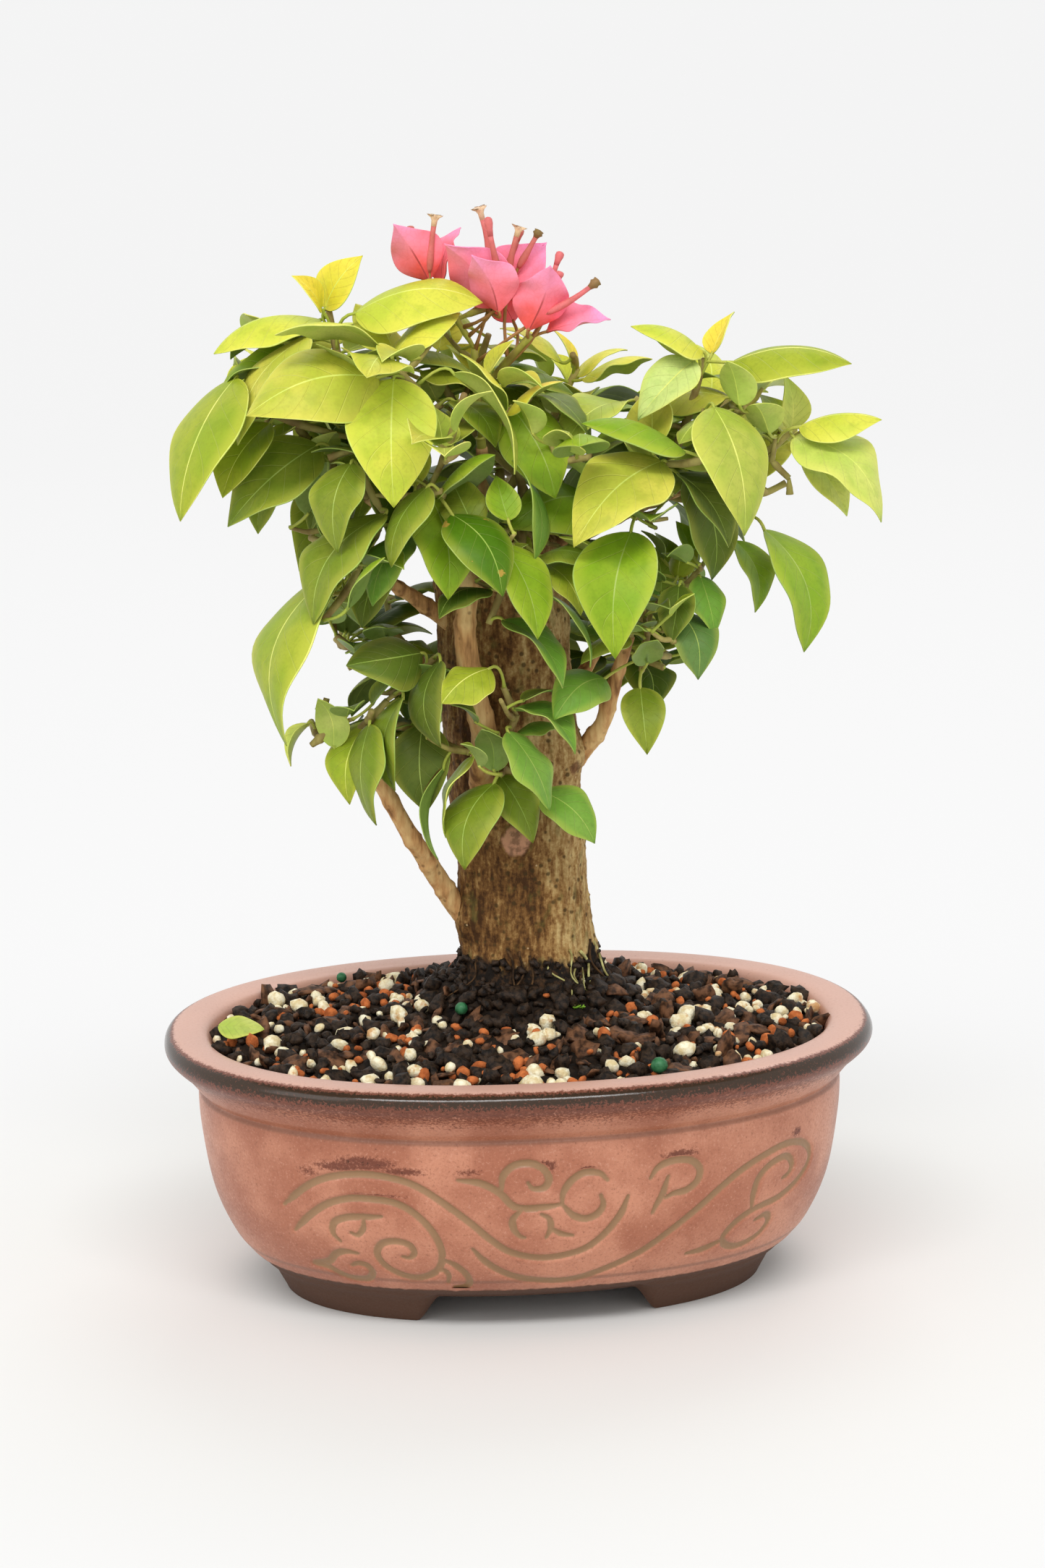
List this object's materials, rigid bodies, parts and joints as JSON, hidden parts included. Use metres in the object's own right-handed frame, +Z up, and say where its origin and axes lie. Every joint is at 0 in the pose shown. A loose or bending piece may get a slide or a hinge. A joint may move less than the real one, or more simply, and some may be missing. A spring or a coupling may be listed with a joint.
{
  "type": "bougainvillea bonsai",
  "caption": "Potted miniature tree with a thick straight trunk, leafy boughs on all sides and pink blossom at the top, in an oval glazed bonsai pot.",
  "frame": {"origin": "the surface that the pot stands on, under the middle of the pot", "axes": "+Z up, +X to the right along the long side of the oval pot, -Y to the front"},
  "size_m": [0.2034, 0.1523, 0.306],
  "materials": {
    "glazed_pot": "satin terracotta glaze, dark glossy band on the rim",
    "potting_mix": "damp coarse grit and charcoal",
    "trunk_bark": "rough matte bark",
    "bough_bark": "matte young bark",
    "foliage": "satin leaf",
    "bracts": "papery, thin"
  },
  "bodies": {
    "root": {"blossom": "bracts", "bough_back": "bough_bark", "bough_back_left": "bough_bark", "bough_back_right": "bough_bark", "bough_far_right": "bough_bark", "bough_front": "bough_bark", "bough_left_back": "bough_bark", "bough_low_back": "bough_bark", "bough_lower_left": "bough_bark", "bough_mid_left": "bough_bark", "bough_right": "bough_bark", "bough_right_back": "bough_bark", "bough_top": "bough_bark", "bough_upper_left": "bough_bark", "bough_upper_right": "bough_bark", "crown_back": "foliage", "crown_back_left": "foliage", "crown_back_right": "foliage", "crown_centre": "foliage", "crown_far_right": "foliage", "crown_front": "foliage", "crown_left": "foliage", "crown_left_back": "foliage", "crown_low_back": "foliage", "crown_low_front": "foliage", "crown_low_left": "foliage", "crown_low_right": "foliage", "crown_mid_left": "foliage", "crown_right": "foliage", "crown_right_back": "foliage", "crown_top": "foliage", "pot": "glazed_pot", "soil": "potting_mix", "trunk": "trunk_bark"}
  },
  "joints": []
}
